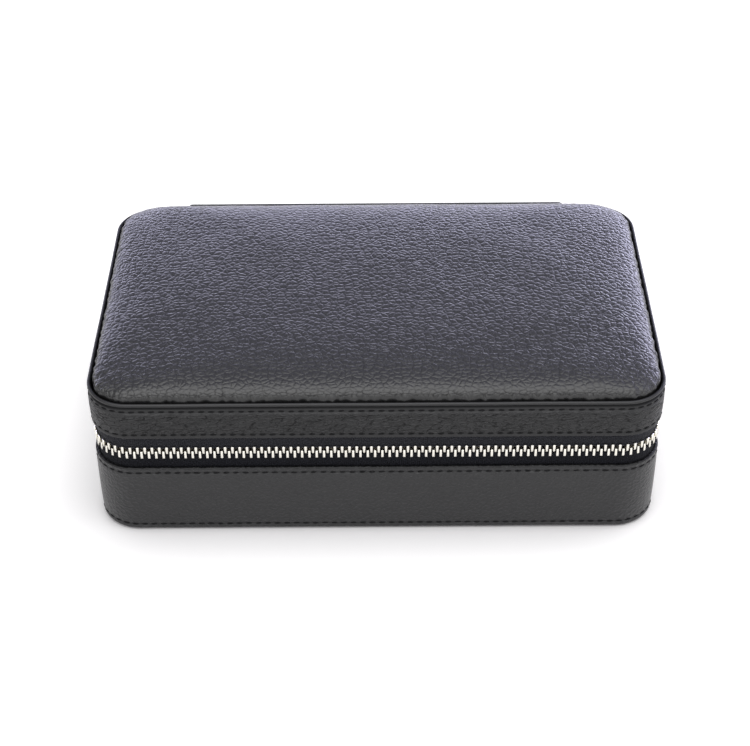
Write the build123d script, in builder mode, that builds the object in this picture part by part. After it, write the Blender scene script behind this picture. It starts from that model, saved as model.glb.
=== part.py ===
from build123d import *
import os
from math import cos, radians, sin

# A zip-around travel jewelry box: leather over boards, a padded domed lid with a mirror, trays inside.
# Millimetres. X runs along the width, Y from front to back, Z up.
# The origin is the middle of the underside of the closed case.
# An inset is a distance inward from the outer face of the leather, seen from above.

# Outer size
case_width = 180.0
case_depth = 109.5
corner_radius = 13.5
base_height = 26.3  # height of the base's leather
zip_opening = 12.3  # between the leather of the base and of the lid
lid_band = 13.6  # height of the lid's leather, whose top edge stands up as a rim
dome_rise = 7.1  # from the rim up to the top of the padded panel

# Sheets and boards
leather = 1.2
wall_board = 2.7
floor_board = 2.5
lid_board = 2.0
lining = 1.0
edge_roll = 0.5  # rounding of the leather's folded edges
setback = 0.3  # how far a board stops short of its leather's edge
clearance = 0.3  # between pieces that move past each other

# Padded panel in the lid
panel_depth = 6.2  # how far its seat lies below the rim
panel_gap = 0.7  # between the rim and the panel
shoulder = 20.0  # how far the curved part of the panel reaches inward
shoulder_power = 2.6  # 2 makes the shoulder an ellipse, more makes it squarer
shoulder_steps = (0, 18, 36, 54, 72, 90)  # degrees along the shoulder's curve
corner_growth = 0.6  # how much the panel's corners open for each millimetre inward

# Zip
tape_thickness = 0.5
tape_hidden = 5.3  # width of tape behind the leather
tape_gap = 2.2  # between the two tapes, where the teeth mesh
tooth_pitch = 2.28
tooth_width = 0.95
tooth_thickness = 2.2
tooth_grip = 1.1  # how far a tooth reaches over its tape
tooth_reach = 0.45  # how far a tooth passes the middle of the chain
tooth_chamfer = 0.2
tape_play = 0.02  # each side of the tape, inside the pieces that grip it
stop_length = 1.8

# Slider and puller
slider_setback = 7.25  # from the rear corner's start to the middle of the parked slider
slider_length = 10.5
slider_mouth = 8.8  # height at the end where the two rows enter
slider_tail = 7.2  # height at the end where the meshed chain leaves
slider_plate = 0.95
slider_flange = 1.0
slider_corner = 1.0
wedge_length = 4.0
bail_diameter = 1.2
bail_span = 6.4
bail_bend = 1.0
link_thickness = 1.2
link_wall = 0.8
link_length = 6.5
cross_bar_diameter = 1.6
tab_leather = 0.9
tab_width = 8.0
tab_corner = 2.5
puller_length = 28.0
rivet_diameter = 1.4
rivet_head_diameter = 2.8
rivet_head = 0.4
rivet_drop = 3.6  # from the cross bar down to the rivet

# Hinge strip at the back
spine_setback = 10.0  # from each rear corner's start to the strip's end
spine_rise = 0.8  # how far the strip stands above the rim
spine_foot = 2.0  # height of its lower end
spine_corner = 1.5
spine_tuck = 6.0  # how far the zip tapes run in under its ends
hinge_lining_gap = 1.0  # between the inner hinge strip and the ends of the tapes

# Inside of the base
collar_thickness = 1.5
collar_gap = 0.3  # between the collar and the lid's lining
collar_round = 0.6
divider = 2.4
divider_height = 27.3
ring_bay = 66.0
ring_roll_count = 5
ring_roll_height = 16.0
ring_roll_gap = 0.6
rear_bay = 41.5

# Mirror
mirror_thickness = 1.2
mirror_margin = 6.6  # from the lid's wall lining to the frame
mirror_corner = 5.0
frame_border = 5.0
frame_lip = 0.4
frame_lap = 2.0  # how far the frame covers the mirror's edge

# Insets that follow from the sizes
rebate_inset = leather + tape_thickness
collar_inset = leather + wall_board
tray_inset = collar_inset + collar_thickness
lid_tray_inset = collar_inset + lining
panel_inset = leather + panel_gap
panel_core_inset = panel_inset + leather
chain_inset = leather + tape_thickness / 2
frame_inset = lid_tray_inset + mirror_margin
glass_inset = frame_inset + frame_border - frame_lap
window_inset = frame_inset + frame_border

# Heights that follow from the sizes
lid_edge_height = base_height + zip_opening
rim_height = lid_edge_height + lid_band
crown_height = rim_height + dome_rise
zip_height = base_height + zip_opening / 2
floor_top = leather + floor_board
tray_floor = floor_top + lining
tape_bottom = base_height - tape_hidden
lower_tape_edge = zip_height - tape_gap / 2
upper_tape_edge = zip_height + tape_gap / 2
tape_top = lid_edge_height + tape_hidden
collar_top = lid_edge_height - collar_gap
panel_seat = rim_height - panel_depth
lid_ceiling = panel_seat - lining
glass_face = lid_ceiling - mirror_thickness
spine_top = rim_height + spine_rise

# Places along and across the case that follow from the sizes
right_side = case_width / 2
back_side = case_depth / 2
chain_x = right_side - chain_inset
chain_y = back_side - chain_inset
straight_y = back_side - corner_radius
slider_parked = straight_y - slider_setback
spine_width = case_width - 2 * corner_radius - 2 * spine_setback
tape_end = spine_width / 2 - spine_tuck
chain_end = slider_parked - slider_length / 2 - clearance
tray_width = case_width - 2 * tray_inset
tray_depth = case_depth - 2 * tray_inset
long_divider_x = -tray_width / 2 + ring_bay + divider / 2
right_bay = tray_width - ring_bay - divider
right_bay_x = (tray_width - right_bay) / 2
cross_divider_y = tray_depth / 2 - rear_bay - divider / 2
front_bay = tray_depth - rear_bay - divider
front_bay_y = (front_bay - tray_depth) / 2

# Slider and puller, measured outward from the leather's outer face
slider_floor = clearance + tooth_thickness / 2 - chain_inset
slider_face = slider_floor + slider_plate
channel_back = -chain_inset - tooth_thickness / 2 - clearance
slider_back = clearance - collar_inset
slot_outer = clearance - leather
slot_inner = -rebate_inset - clearance
eye_radius = bail_diameter / 2 + clearance
eye_outer = eye_radius + link_wall
bail_height = slider_face + eye_outer + clearance
puller_x = right_side + bail_height
cross_bar_height = zip_height - link_length
puller_end = zip_height - puller_length


def outline(inset, corner=None, mode=Mode.ADD):
    """The case's outline, seen from above, moved inward."""
    radius = corner_radius - inset if corner is None else corner
    RectangleRounded(case_width - 2 * inset, case_depth - 2 * inset, radius, mode=mode)


def sheet(inset, bottom, top, corner=None, mode=Mode.ADD):
    """A flat layer that fills the outline."""
    with BuildSketch(Plane.XY.offset(bottom)) as layer:
        outline(inset, corner)
    extrude(layer.sketch, amount=top - bottom, mode=mode)


def band(outer_inset, inner_inset, bottom, top, corner=None):
    """An upright wall that follows the outline."""
    with BuildSketch(Plane.XY.offset(bottom)) as ring:
        outline(outer_inset, corner)
        outline(inner_inset, corner, mode=Mode.SUBTRACT)
    extrude(ring.sketch, amount=top - bottom)


def padded_shape(inset, bottom, crown):
    """Straight sides up to the rim's height, then a rounded shoulder up to the crown."""
    sheet(inset, bottom, rim_height)
    sections = []
    for step in shoulder_steps:
        inward = shoulder * (1 - cos(radians(step)) ** (2 / shoulder_power))
        rise = (crown - rim_height) * sin(radians(step)) ** (2 / shoulder_power)
        with BuildSketch(Plane.XY.offset(rim_height + rise)) as section:
            outline(inset + inward, corner_radius - inset + corner_growth * inward)
        sections.append(section.sketch)
    loft(sections, ruled=True)


def tape(bottom, top):
    """A zip tape, open at the back between its two ends."""
    band(leather, rebate_inset, bottom, top)
    with Locations((0, back_side, (bottom + top) / 2)):
        Box(2 * tape_end, 2 * corner_radius, top - bottom, mode=Mode.SUBTRACT)


def clip(length, low, high, tape_low, tape_high):
    """A metal piece that straddles a tape's edge. Heights are measured from the chain's middle."""
    with BuildSketch() as fork:
        with Locations(((low + high) / 2, 0)):
            Rectangle(high - low, tooth_thickness)
        with Locations(((tape_low + tape_high) / 2, 0)):
            Rectangle(tape_high - tape_low, tape_thickness + 2 * tape_play, mode=Mode.SUBTRACT)
    extrude(fork.sketch, amount=length / 2, both=True)


def save(piece, name):
    """Labels a finished piece and writes its file."""
    piece.part.label = name
    export_step(piece.part, f"parts/{name}.step")


os.makedirs("parts", exist_ok=True)

# Leather, boards and linings of the base
with BuildPart() as base_bottom_leather:
    sheet(leather, 0, leather)
save(base_bottom_leather, "base_bottom_leather")

with BuildPart() as base_side_leather:
    band(0, leather, 0, base_height)
    rolled = base_side_leather.faces().filter_by(Plane.XY)
    fillet([edge for face in rolled for edge in face.outer_wire().edges()], edge_roll)
save(base_side_leather, "base_side_leather")

with BuildPart() as base_floor_board:
    sheet(leather, leather, floor_top)
save(base_floor_board, "base_floor_board")

with BuildPart() as base_wall_board:
    band(leather, collar_inset, floor_top, tape_bottom)
    band(rebate_inset, collar_inset, tape_bottom, base_height - setback)
save(base_wall_board, "base_wall_board")

with BuildPart() as inner_collar:
    band(collar_inset, tray_inset, floor_top, collar_top)
    fillet(inner_collar.faces().sort_by(Axis.Z)[-1].edges(), collar_round)
save(inner_collar, "inner_collar")

with BuildPart() as floor_lining:
    sheet(tray_inset, floor_top, tray_floor)
save(floor_lining, "floor_lining")

# Dividers and ring rolls
with BuildPart() as long_divider:
    with Locations((long_divider_x, 0, tray_floor)):
        Box(divider, tray_depth, divider_height, align=(Align.CENTER, Align.CENTER, Align.MIN))
save(long_divider, "long_divider")

with BuildPart() as cross_divider:
    with Locations((right_bay_x, cross_divider_y, tray_floor)):
        Box(right_bay, divider, divider_height, align=(Align.CENTER, Align.CENTER, Align.MIN))
save(cross_divider, "cross_divider")

with BuildPart() as short_divider:
    with Locations((right_bay_x, front_bay_y, tray_floor)):
        Box(divider, front_bay, divider_height, align=(Align.CENTER, Align.CENTER, Align.MIN))
save(short_divider, "short_divider")

ring_roll_pitch = ring_bay / ring_roll_count
ring_roll_width = ring_roll_pitch - ring_roll_gap
ring_roll_side = ring_roll_height - ring_roll_width / 2
for number in range(ring_roll_count):
    roll_x = -tray_width / 2 + (number + 0.5) * ring_roll_pitch
    with BuildPart() as ring_roll:
        with BuildSketch(Plane.XZ):
            with Locations((roll_x, tray_floor)):
                Rectangle(ring_roll_width, ring_roll_side, align=(Align.CENTER, Align.MIN))
            with Locations((roll_x, tray_floor + ring_roll_side)):
                Circle(ring_roll_width / 2)
        extrude(amount=tray_depth / 2, both=True)
        sheet(tray_inset + clearance, tray_floor, tray_floor + ring_roll_height, mode=Mode.INTERSECT)
    save(ring_roll, f"ring_roll_{number + 1}")

# Leather, boards and linings of the lid
with BuildPart() as lid_side_leather:
    band(0, leather, lid_edge_height, rim_height)
    rim = lid_side_leather.faces().sort_by(Axis.Z)[-1].edges()
    lower_edge = lid_side_leather.faces().sort_by(Axis.Z)[0].outer_wire().edges()
    fillet(rim + lower_edge, edge_roll)
save(lid_side_leather, "lid_side_leather")

with BuildPart() as lid_wall_board:
    band(rebate_inset, collar_inset, lid_edge_height + setback, tape_top)
    band(leather, collar_inset, tape_top, panel_seat)
save(lid_wall_board, "lid_wall_board")

with BuildPart() as lid_top_board:
    sheet(panel_core_inset, panel_seat, panel_seat + lid_board)
save(lid_top_board, "lid_top_board")

with BuildPart() as panel_core:
    padded_shape(panel_core_inset, panel_seat, crown_height - leather)

with BuildPart() as lid_foam:
    add(panel_core.part)
    sheet(panel_core_inset, panel_seat, panel_seat + lid_board, mode=Mode.SUBTRACT)
save(lid_foam, "lid_foam")

with BuildPart() as lid_top_leather:
    padded_shape(panel_inset, panel_seat, crown_height)
    add(panel_core.part, mode=Mode.SUBTRACT)
save(lid_top_leather, "lid_top_leather")

with BuildPart() as lid_wall_lining:
    band(collar_inset, lid_tray_inset, lid_edge_height, lid_ceiling)
save(lid_wall_lining, "lid_wall_lining")

with BuildPart() as lid_top_lining:
    sheet(collar_inset, lid_ceiling, panel_seat)
save(lid_top_lining, "lid_top_lining")

with BuildPart() as mirror_frame:
    band(frame_inset, glass_inset, glass_face, lid_ceiling, mirror_corner)
    band(frame_inset, window_inset, glass_face - frame_lip, glass_face, mirror_corner)
save(mirror_frame, "mirror_frame")

with BuildPart() as mirror:
    sheet(glass_inset, glass_face, lid_ceiling, mirror_corner)
save(mirror, "mirror")

# Hinge strips
with BuildPart() as hinge_spine:
    with BuildSketch(Plane.XZ.offset(-back_side)):
        with Locations((0, (spine_foot + spine_top) / 2)):
            RectangleRounded(spine_width, spine_top - spine_foot, spine_corner)
    extrude(amount=-leather)
save(hinge_spine, "hinge_spine")

with BuildPart() as hinge_lining:
    with Locations((0, back_side - chain_inset, (tape_bottom + tape_top) / 2)):
        Box(2 * (tape_end - hinge_lining_gap), tape_thickness, tape_top - tape_bottom)
save(hinge_lining, "hinge_lining")

# Zip tapes and the path that the chain follows
with BuildPart() as lower_zip_tape:
    tape(tape_bottom, lower_tape_edge)
save(lower_zip_tape, "lower_zip_tape")

with BuildPart() as upper_zip_tape:
    tape(upper_tape_edge, tape_top)
save(upper_zip_tape, "upper_zip_tape")

with BuildLine(Plane.XY.offset(zip_height)) as chain:
    FilletPolyline(
        (-tape_end, chain_y),
        (-chain_x, chain_y),
        (-chain_x, -chain_y),
        (chain_x, -chain_y),
        (chain_x, chain_end),
        radius=corner_radius - chain_inset,
    )
chain_path = chain.wire()


def along_chain(distance):
    """A place on the chain: X points up and Z along the chain."""
    return chain_path.location_at(distance, PositionMode.LENGTH, x_dir=(0, 0, 1))


# Teeth, the ones that the slider passes apart from the rest
grip_start = tape_gap / 2 + tooth_grip
with BuildPart() as lower_tooth:
    clip(tooth_width, -grip_start, tooth_reach, -grip_start, -tape_gap / 2)
    chamfer(lower_tooth.faces().sort_by(Axis.X)[-1].edges(), tooth_chamfer)

with BuildPart() as upper_tooth:
    clip(tooth_width, -tooth_reach, grip_start, tape_gap / 2, grip_start)
    chamfer(upper_tooth.faces().sort_by(Axis.X)[0].edges(), tooth_chamfer)

first_tooth = stop_length + clearance + tooth_width / 2
tooth_room = chain_path.length - first_tooth - tooth_pitch / 2 - tooth_width / 2
tooth_count = int(tooth_room / tooth_pitch) + 1
side_start = chain_path.length - (chain_end + straight_y)
for row, tooth, shift in (("lower", lower_tooth, 0), ("upper", upper_tooth, tooth_pitch / 2)):
    places = [first_tooth + shift + number * tooth_pitch for number in range(tooth_count)]
    with BuildPart() as zip_teeth:
        with Locations(*[along_chain(d) for d in places if d < side_start]):
            add(tooth.part)
    save(zip_teeth, f"{row}_zip_teeth")
    with BuildPart() as side_teeth:
        with Locations(*[along_chain(d) for d in places if d >= side_start]):
            add(tooth.part)
    save(side_teeth, f"{row}_side_teeth")

# Stops at both ends of the chain
with BuildPart() as bottom_clip:
    clip(stop_length, -grip_start, tape_gap / 2 - clearance, -grip_start, -tape_gap / 2)

with BuildPart() as zip_bottom_stop:
    with Locations(along_chain(stop_length / 2)):
        add(bottom_clip.part)
save(zip_bottom_stop, "zip_bottom_stop")

top_stop_place = Plane(
    (chain_x, slider_parked + slider_length / 2 + clearance + stop_length / 2, zip_height),
    x_dir=(0, 0, 1),
    z_dir=(0, 1, 0),
)
with BuildPart() as lower_clip:
    clip(stop_length, -grip_start, -tooth_reach, -grip_start, -tape_gap / 2)

with BuildPart() as lower_top_stop:
    with Locations(top_stop_place):
        add(lower_clip.part)
save(lower_top_stop, "lower_top_stop")

with BuildPart() as upper_clip:
    clip(stop_length, tooth_reach, grip_start, tape_gap / 2, grip_start)

with BuildPart() as upper_top_stop:
    with Locations(top_stop_place):
        add(upper_clip.part)
save(upper_top_stop, "upper_top_stop")

# Slider: X points to the back, Y up and Z out of the right side
slider_plane = Plane((right_side, slider_parked, zip_height), x_dir=(0, 1, 0), z_dir=(1, 0, 0))
half_length = slider_length / 2
wedge_half = tape_gap / 2 - clearance


def slider_shape(trim, overrun=0):
    """The slider seen from outside: taller at the mouth than at the tail."""
    slope = (slider_mouth - slider_tail) / 2 / slider_length
    reach = half_length + overrun
    tail = slider_tail / 2 - trim - slope * overrun
    mouth = slider_mouth / 2 - trim + slope * overrun
    Polygon((-reach, -tail), (reach, -mouth), (reach, mouth), (-reach, tail), align=None)


with BuildPart() as slider_body:
    with BuildSketch(slider_plane.offset(slider_back)) as slider_outline:
        slider_shape(0)
        fillet(slider_outline.vertices(), slider_corner)
    extrude(amount=slider_face - slider_back)
    with BuildSketch(slider_plane.offset(channel_back)):
        slider_shape(slider_flange, overrun=slider_corner)
    extrude(amount=slider_floor - channel_back, mode=Mode.SUBTRACT)
    with BuildSketch(slider_plane.offset(slot_inner)):
        slider_shape(-slider_flange, overrun=slider_corner)
    extrude(amount=slot_outer - slot_inner, mode=Mode.SUBTRACT)
    with BuildSketch(slider_plane.offset(channel_back)):
        wedge_end = half_length - slider_corner
        wedge_tip = wedge_end - wedge_length
        Polygon((wedge_tip, 0), (wedge_end, -wedge_half), (wedge_end, wedge_half), align=None)
    extrude(amount=slider_floor - channel_back)
save(slider_body, "slider_body")

with BuildPart() as slider_bail:
    with BuildLine(Plane.XY.offset(zip_height)) as bail_path:
        FilletPolyline(
            (right_side + slider_face, slider_parked - bail_span / 2),
            (puller_x, slider_parked - bail_span / 2),
            (puller_x, slider_parked + bail_span / 2),
            (right_side + slider_face, slider_parked + bail_span / 2),
            radius=bail_bend,
        )
    bail_foot = (right_side + slider_face, slider_parked - bail_span / 2, zip_height)
    with BuildSketch(Plane(bail_foot, z_dir=(1, 0, 0))):
        Circle(bail_diameter / 2)
    sweep(path=bail_path.wire())
save(slider_bail, "slider_bail")

# Puller: a metal link on the bail, a folded leather tab on the link's cross bar, and a rivet
puller_plane = Plane.XZ.offset(-slider_parked)
with BuildPart() as puller_link:
    with BuildSketch(puller_plane):
        with Locations((puller_x, zip_height)):
            Circle(eye_outer)
        with Locations((puller_x, (zip_height + cross_bar_height) / 2)):
            Rectangle(cross_bar_diameter, link_length)
        with Locations((puller_x, zip_height)):
            Circle(eye_radius, mode=Mode.SUBTRACT)
    extrude(amount=link_thickness / 2, both=True)
    with BuildSketch(puller_plane):
        with Locations((puller_x, cross_bar_height)):
            Circle(cross_bar_diameter / 2)
    extrude(amount=tab_width / 2, both=True)
save(puller_link, "puller_link")

with BuildPart() as puller_tab:
    fold_radius = cross_bar_diameter / 2 + tab_leather
    with BuildSketch(puller_plane):
        with Locations((puller_x, cross_bar_height)):
            Circle(fold_radius)
        with Locations((puller_x, (cross_bar_height + puller_end) / 2)):
            Rectangle(2 * tab_leather, cross_bar_height - puller_end)
        with Locations((puller_x, cross_bar_height)):
            Circle(cross_bar_diameter / 2, mode=Mode.SUBTRACT)
    extrude(amount=tab_width / 2, both=True)
    with Locations((puller_x, slider_parked, cross_bar_height)):
        Box(
            3 * fold_radius,
            link_thickness + 2 * clearance,
            2 * fold_radius,
            align=(Align.CENTER, Align.CENTER, Align.MIN),
            mode=Mode.SUBTRACT,
        )
    end_edges = puller_tab.edges().filter_by(Axis.X).group_by(Axis.Z)[0]
    fillet(end_edges, tab_corner)
    with BuildSketch(Plane.YZ.offset(puller_x)):
        with Locations((slider_parked, cross_bar_height - rivet_drop)):
            Circle(rivet_diameter / 2)
    extrude(amount=2 * tab_leather, both=True, mode=Mode.SUBTRACT)
save(puller_tab, "puller_tab")

with BuildPart() as puller_rivet:
    with BuildSketch(Plane.YZ.offset(puller_x)):
        with Locations((slider_parked, cross_bar_height - rivet_drop)):
            Circle(rivet_diameter / 2)
    extrude(amount=tab_leather, both=True)
    for side in (-1, 1):
        with BuildSketch(Plane.YZ.offset(puller_x + side * tab_leather)):
            with Locations((slider_parked, cross_bar_height - rivet_drop)):
                Circle(rivet_head_diameter / 2)
        extrude(amount=side * rivet_head)
save(puller_rivet, "puller_rivet")
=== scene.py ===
import math

import bmesh
import bpy
import numpy as np
from mathutils import Matrix, Vector, noise


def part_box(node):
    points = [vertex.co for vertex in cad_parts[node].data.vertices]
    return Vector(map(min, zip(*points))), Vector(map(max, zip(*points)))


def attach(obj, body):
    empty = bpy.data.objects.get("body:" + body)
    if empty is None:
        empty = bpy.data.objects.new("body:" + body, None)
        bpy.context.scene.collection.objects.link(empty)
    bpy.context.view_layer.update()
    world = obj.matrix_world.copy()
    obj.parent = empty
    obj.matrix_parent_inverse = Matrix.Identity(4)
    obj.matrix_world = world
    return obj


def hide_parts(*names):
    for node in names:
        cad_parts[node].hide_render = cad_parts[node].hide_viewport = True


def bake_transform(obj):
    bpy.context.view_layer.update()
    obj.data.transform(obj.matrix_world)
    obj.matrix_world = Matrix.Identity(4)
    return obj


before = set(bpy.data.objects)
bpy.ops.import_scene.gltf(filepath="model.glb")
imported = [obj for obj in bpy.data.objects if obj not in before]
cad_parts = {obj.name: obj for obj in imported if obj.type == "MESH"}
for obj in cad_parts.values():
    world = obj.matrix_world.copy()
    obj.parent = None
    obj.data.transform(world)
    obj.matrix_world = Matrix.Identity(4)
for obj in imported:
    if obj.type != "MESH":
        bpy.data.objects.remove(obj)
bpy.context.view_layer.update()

# A zip-around travel jewelry box in black grained leather, dressed round its frame.
# Pieces are worked out in millimetres and become metres when their mesh is made.
# An inset is a distance inward from the outer face of the leather, seen from above.
MM = 0.001


def room_of(node):
    """Lowest and highest corner of a node of the frame, in millimetres."""
    low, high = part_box(node)
    return low / MM, high / MM


# Sizes read from the frame
base_low, base_high = room_of("base_side_leather")
lid_low, lid_high = room_of("lid_side_leather")
pad_low, pad_high = room_of("lid_top_leather")
half_width, half_depth = base_high.x, base_high.y
base_edge, lid_edge, rim = base_high.z, lid_low.z, lid_high.z
pad_inset = half_width - pad_high.x
hinge_height = (base_edge + lid_edge) / 2

# Sizes of the leather work
corner = 13.5
leather = 1.2
edge_roll = 0.55
lid_roll = 0.3
foot_roll = 1.3
furrow_depth = 0.2
furrow_width = 0.5
puff = 0.14
strand_groove = 1.65
groove_depth = 0.6
groove_width = 0.55
stitch_pitch = 3.06
stitch_length = 2.35
thread_radius = 0.34
stitch_dip = 0.3
stitch_margin = 1.5
lid_rows = (lid_edge + 1.4, rim - 2.9)
base_rows = (2.35, base_edge - 2.0)
spine_row = 2.0
spine_reach = 0.12
spine_corner = 1.5
spine_sheet_shift = 300

# Sizes of the padded panel and of the stuffing in it and in the ring rolls
crown_fullness = 3.5
crown_steepness = 2.73
corner_growth = 1.4
corner_softness = 1.1
corner_reach = 24
back_softness = 0.33
front_fullness = 1.0
front_reach = 20
front_overhang = 0.42
pad_overhang = 0.15
pad_spacing = 2.2
shoulder_share = 0.4
skirt_depths = (3.8, 1.6)
fold_start = 1.5
fold_zone = 6
fold_pitch = 1.5
fold_length = 14
fold_reach = 2.8
fold_depth = 0.55
back_fold_share = 0.4
swell_pitch = 26
swell_depth = 0.22
stuffing_frames = 20
stuffing_pressure = 4.0
pad_cap = 0.3
roll_cap = 0.45

# Sizes of the zip
chain_inset = 1.45
tape_thickness = 0.5
tooth_pitch = 2.28
tooth_count = 165
tape_end = 60.5
first_tooth = 2.575

# The photograph's camera
photo_width = 750
sensor_width = 36.0
focal_length_pixels = 1704.7
look_down = math.radians(38.72)
camera_turn = math.radians(0.165)
camera_roll = math.radians(-0.477)
camera_distance = 582.0
camera_target = Vector((-0.5, 0, 20.4))


# Meshes

def put_in_scene(name, data):
    """A new object in the scene."""
    made = bpy.data.objects.new(name, data)
    bpy.context.scene.collection.objects.link(made)
    return made


def new_piece(name, points, faces, flat=None):
    """A smooth mesh from points in millimetres. flat gives each face corner's place on the uncut sheet."""
    mesh = bpy.data.meshes.new(name)
    mesh.from_pydata((np.asarray(points, float) * MM).tolist(), [], faces)
    if flat is not None:
        sheet = mesh.uv_layers.new(name="flat_cut")
        sheet.data.foreach_set("uv", np.asarray(flat, np.float32).ravel())
    mesh.shade_smooth()
    return put_in_scene(name, mesh)


def finish_piece(piece, body, material, slot, *nodes):
    """Gives a piece its body and its material, and hides the nodes that it stands for. The slot is not used.
    """
    piece.data.materials.clear()
    piece.data.materials.append(material)
    if body:
        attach(piece, body)
    if nodes:
        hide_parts(*nodes)


def quads(columns, rows, loop_columns=False, loop_rows=False):
    """The quads of a grid, and the same corners counted on a grid that has one more column and row."""
    c, r = np.meshgrid(
        np.arange(columns if loop_columns else columns - 1),
        np.arange(rows if loop_rows else rows - 1),
        indexing="ij",
    )
    corners = ((c, r), (c + 1, r), (c + 1, r + 1), (c, r + 1))
    faces = np.stack([(a % columns) * rows + b % rows for a, b in corners], -1).reshape(-1, 4)
    counts = np.stack([np.stack(pair, -1) for pair in corners], -2).reshape(-1, 4, 2)
    return faces, counts


def walk(distance, half_x, half_y, radius):
    """A place on a rounded rectangle and the way it faces. Distances start at mid back and go left."""
    along = distance
    for side in range(5):
        angle = math.pi / 2 * (1 + side)
        facing = np.array((math.cos(angle), math.sin(angle)))
        heading = np.array((-facing[1], facing[0]))
        reach, half = (half_y, half_x - radius) if side % 2 == 0 else (half_x, half_y - radius)
        start = 0 if side == 0 else -half
        if side == 4 or along <= half - start:
            return facing * reach + heading * (start + along), facing
        along -= half - start
        if along <= radius * math.pi / 2:
            turned = angle + along / radius
            turned_facing = np.array((math.cos(turned), math.sin(turned)))
            centre = facing * (reach - radius) + heading * half
            return centre + turned_facing * radius, turned_facing
        along -= radius * math.pi / 2


def outline(inset=0.0):
    """Half the width, half the depth and the corner radius of the case's outline at an inset."""
    return half_width - inset, half_depth - inset, corner - inset


def way_round(inset=0.0):
    """The length of the outline at an inset."""
    flats = 4 * (half_width - corner) + 4 * (half_depth - corner)
    return flats + 2 * math.pi * (corner - inset)


def on_outline(distance, inset=0.0):
    """A place on the outline at an inset, with its distance counted at that inset."""
    return walk(distance, *outline(inset))


def round_rectangle(half_x, half_y, pitch):
    """Evenly spaced places round a rectangle, each with the way it faces."""
    length = 4 * (half_x + half_y)
    count = round(length / pitch)
    return [walk((number + 0.5) * length / count, half_x, half_y, 1e-3) for number in range(count)]


def running_length(points):
    """How far along a line of points each of them lies."""
    steps = np.linalg.norm(np.diff(np.asarray(points, float), axis=0), axis=1)
    return np.concatenate(([0], np.cumsum(steps)))


def wrapped_band(name, profile, spacing, start=None, end=None, sway=0.0):
    """A closed profile of (inset, height) points carried along the outline, or along a part of it."""
    profile = np.asarray(profile, float)
    whole = start is None
    if whole:
        start, end = 0.0, way_round()
    steps = int((end - start) / spacing)
    distances = np.linspace(start, end, steps + 1)
    stations = [on_outline(d) for d in (distances[:-1] if whole else distances)]
    middle = (profile[:, 1].min() + profile[:, 1].max()) / 2
    points = []
    for (place, facing), distance in zip(stations, distances):
        turn = 2 * math.pi * distance / way_round()
        drift = sway * (math.sin(7 * turn + 0.6) + 0.6 * math.sin(17 * turn + middle))
        for inset, height in profile:
            x, y = place - facing * (inset - 0.4 * drift)
            points.append((x, y, height + drift))
    rows = len(profile)
    faces, counts = quads(len(stations), rows, whole, True)
    across = running_length(np.vstack((profile, profile[:1])))
    flat = np.stack((distances[counts[..., 0]], across[counts[..., 1]]), -1)
    piece = new_piece(name, points, faces[:, ::-1].tolist(), flat[:, ::-1])
    if not whole:
        close_ends(piece)
    return piece


def close_ends(piece):
    """Fills a piece's open ends."""
    shape = bmesh.new()
    shape.from_mesh(piece.data)
    bmesh.ops.holes_fill(shape, edges=[e for e in shape.edges if e.is_boundary])
    bmesh.ops.recalc_face_normals(shape, faces=shape.faces)
    shape.to_mesh(piece.data)
    shape.free()


def loft(name, rings):
    """A closed piece through rings of points."""
    faces, _ = quads(len(rings), len(rings[0]), False, True)
    piece = new_piece(name, np.vstack(rings), faces.tolist())
    close_ends(piece)
    return piece


def rolled_in(edge, radius=edge_roll):
    """How far a leather edge is rounded in, at a distance from the edge."""
    left = np.clip(radius - edge, 0, radius)
    return radius - np.sqrt(radius**2 - left**2)


def furrow(distance, depth=furrow_depth, width=furrow_width):
    """How deep a furrow is, at a distance from its middle."""
    return depth * np.exp(-((distance / width) ** 2))


def leather_profile(low, high, rows, low_roll, grooves=(), back_roll=0.35):
    """A leather strip's section: an outer face with rolled edges and a furrow at each row, then its back."""
    furrow_step, groove_step, wide_step, beside_row = 0.18, 0.16, 1.6, 1.3
    roll_shares = [1 - math.cos(math.radians(angle)) for angle in range(0, 91, 18)]
    heights = [low + low_roll * share for share in roll_shares]
    heights += [high - edge_roll * share for share in roll_shares]
    for row in rows:
        heights += [row + step * furrow_step for step in range(-5, 6)]
    for groove in grooves:
        heights += [groove + step * groove_step for step in range(-6, 7)]
    start, end = rows[0] + beside_row, rows[-1] - beside_row
    heights += list(np.linspace(start, end, max(3, int((end - start) / wide_step))))
    section = []
    for height in sorted(set(round(h, 4) for h in heights if low <= h <= high)):
        inset = rolled_in(height - low, low_roll) + rolled_in(high - height)
        inset += sum(furrow(height - row) for row in rows)
        inset += sum(furrow(height - groove, groove_depth, groove_width) for groove in grooves)
        share = (height - rows[0]) / (rows[-1] - rows[0])
        inset -= puff * 4 * max(0, share * (1 - share))
        section.append((float(inset), height))
    back = [(leather - back_roll, high), (leather - 0.3 * back_roll, high - 0.3 * back_roll)]
    back += [(leather, high - back_roll)]
    back += [(leather, h) for h in np.linspace(high - 2, low + 2, 4)]
    if low_roll < leather:
        back += [(leather, low + 0.35), (leather - 0.1, low + 0.1), (leather - 0.35, low)]
    return section + back


def along_section(section, heights):
    """How far round a section its outer face passes each height."""
    points = np.asarray(section)
    outer = int(points[:, 1].argmax()) + 1
    return np.interp(heights, points[:outer, 1], running_length(points)[:outer]).tolist()


def ring_side(count, flat, reach, radius):
    """Places along one side of a rounded rectangle, from the middle of one corner to that of the next."""
    half = flat + radius * math.pi / 4
    run = np.linspace(-half, half, count + 1)
    turned = np.clip(np.abs(run) - flat, 0, None) / radius if radius > 0 else np.zeros(count + 1)
    along = np.sign(run) * (np.minimum(np.abs(run), flat) + radius * np.sin(turned))
    return along, reach - radius * (1 - np.cos(turned))


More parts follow.
